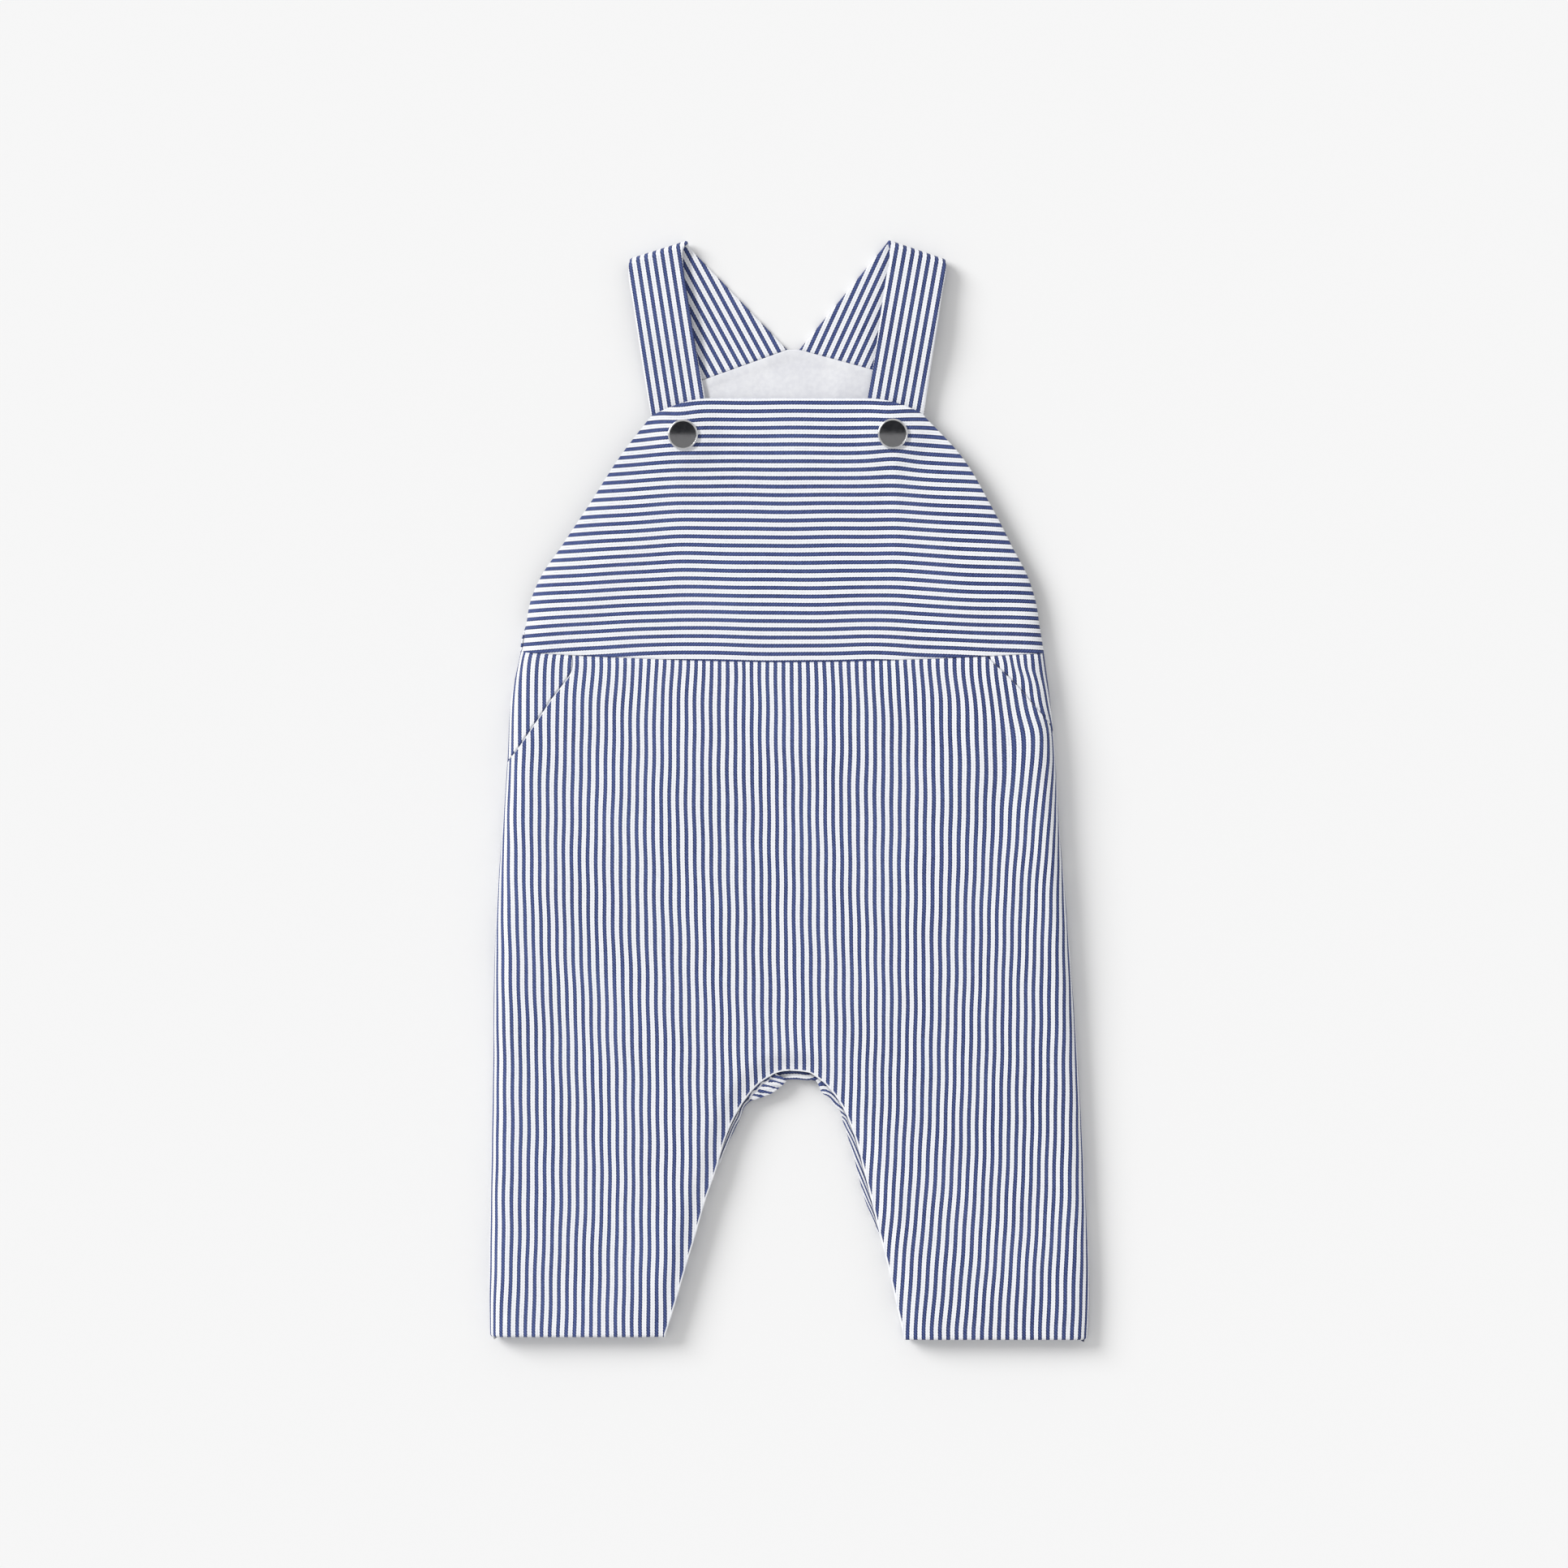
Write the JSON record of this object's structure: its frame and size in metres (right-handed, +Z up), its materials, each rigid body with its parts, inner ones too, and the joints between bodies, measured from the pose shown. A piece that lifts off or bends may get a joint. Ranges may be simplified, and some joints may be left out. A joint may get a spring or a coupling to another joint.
{
  "type": "baby's dungarees",
  "caption": "Baby's striped cotton dungarees laid flat: bib, folded shoulder straps with snaps, slanted hip pockets and short wide legs.",
  "frame": {"origin": "centre of the laid-out garment, on the surface that it lies on", "axes": "+X to the viewer's right across the garment, +Y from the hems to the shoulders, +Z up from the surface"},
  "size_m": [0.2963, 0.5426, 0.0147],
  "materials": {
    "striped_twill": "cotton twill with woven blue and white stripes, matt",
    "white_lining": "plain white cotton, matt",
    "nickel": "dark polished nickel"
  },
  "bodies": {
    "root": {"trouser_front": "striped_twill", "trouser_back": "striped_twill", "hip_left": "striped_twill", "hip_right": "striped_twill", "inseam_placket": "striped_twill", "bib_front": "striped_twill", "back_upper": "striped_twill", "back_lining": "white_lining", "strap_left": "striped_twill", "strap_right": "striped_twill", "snap_cap_left": "nickel", "snap_cap_right": "nickel", "snap_socket_left": "nickel", "snap_socket_right": "nickel", "snap_stud_left": "nickel", "snap_stud_right": "nickel"}
  },
  "joints": []
}
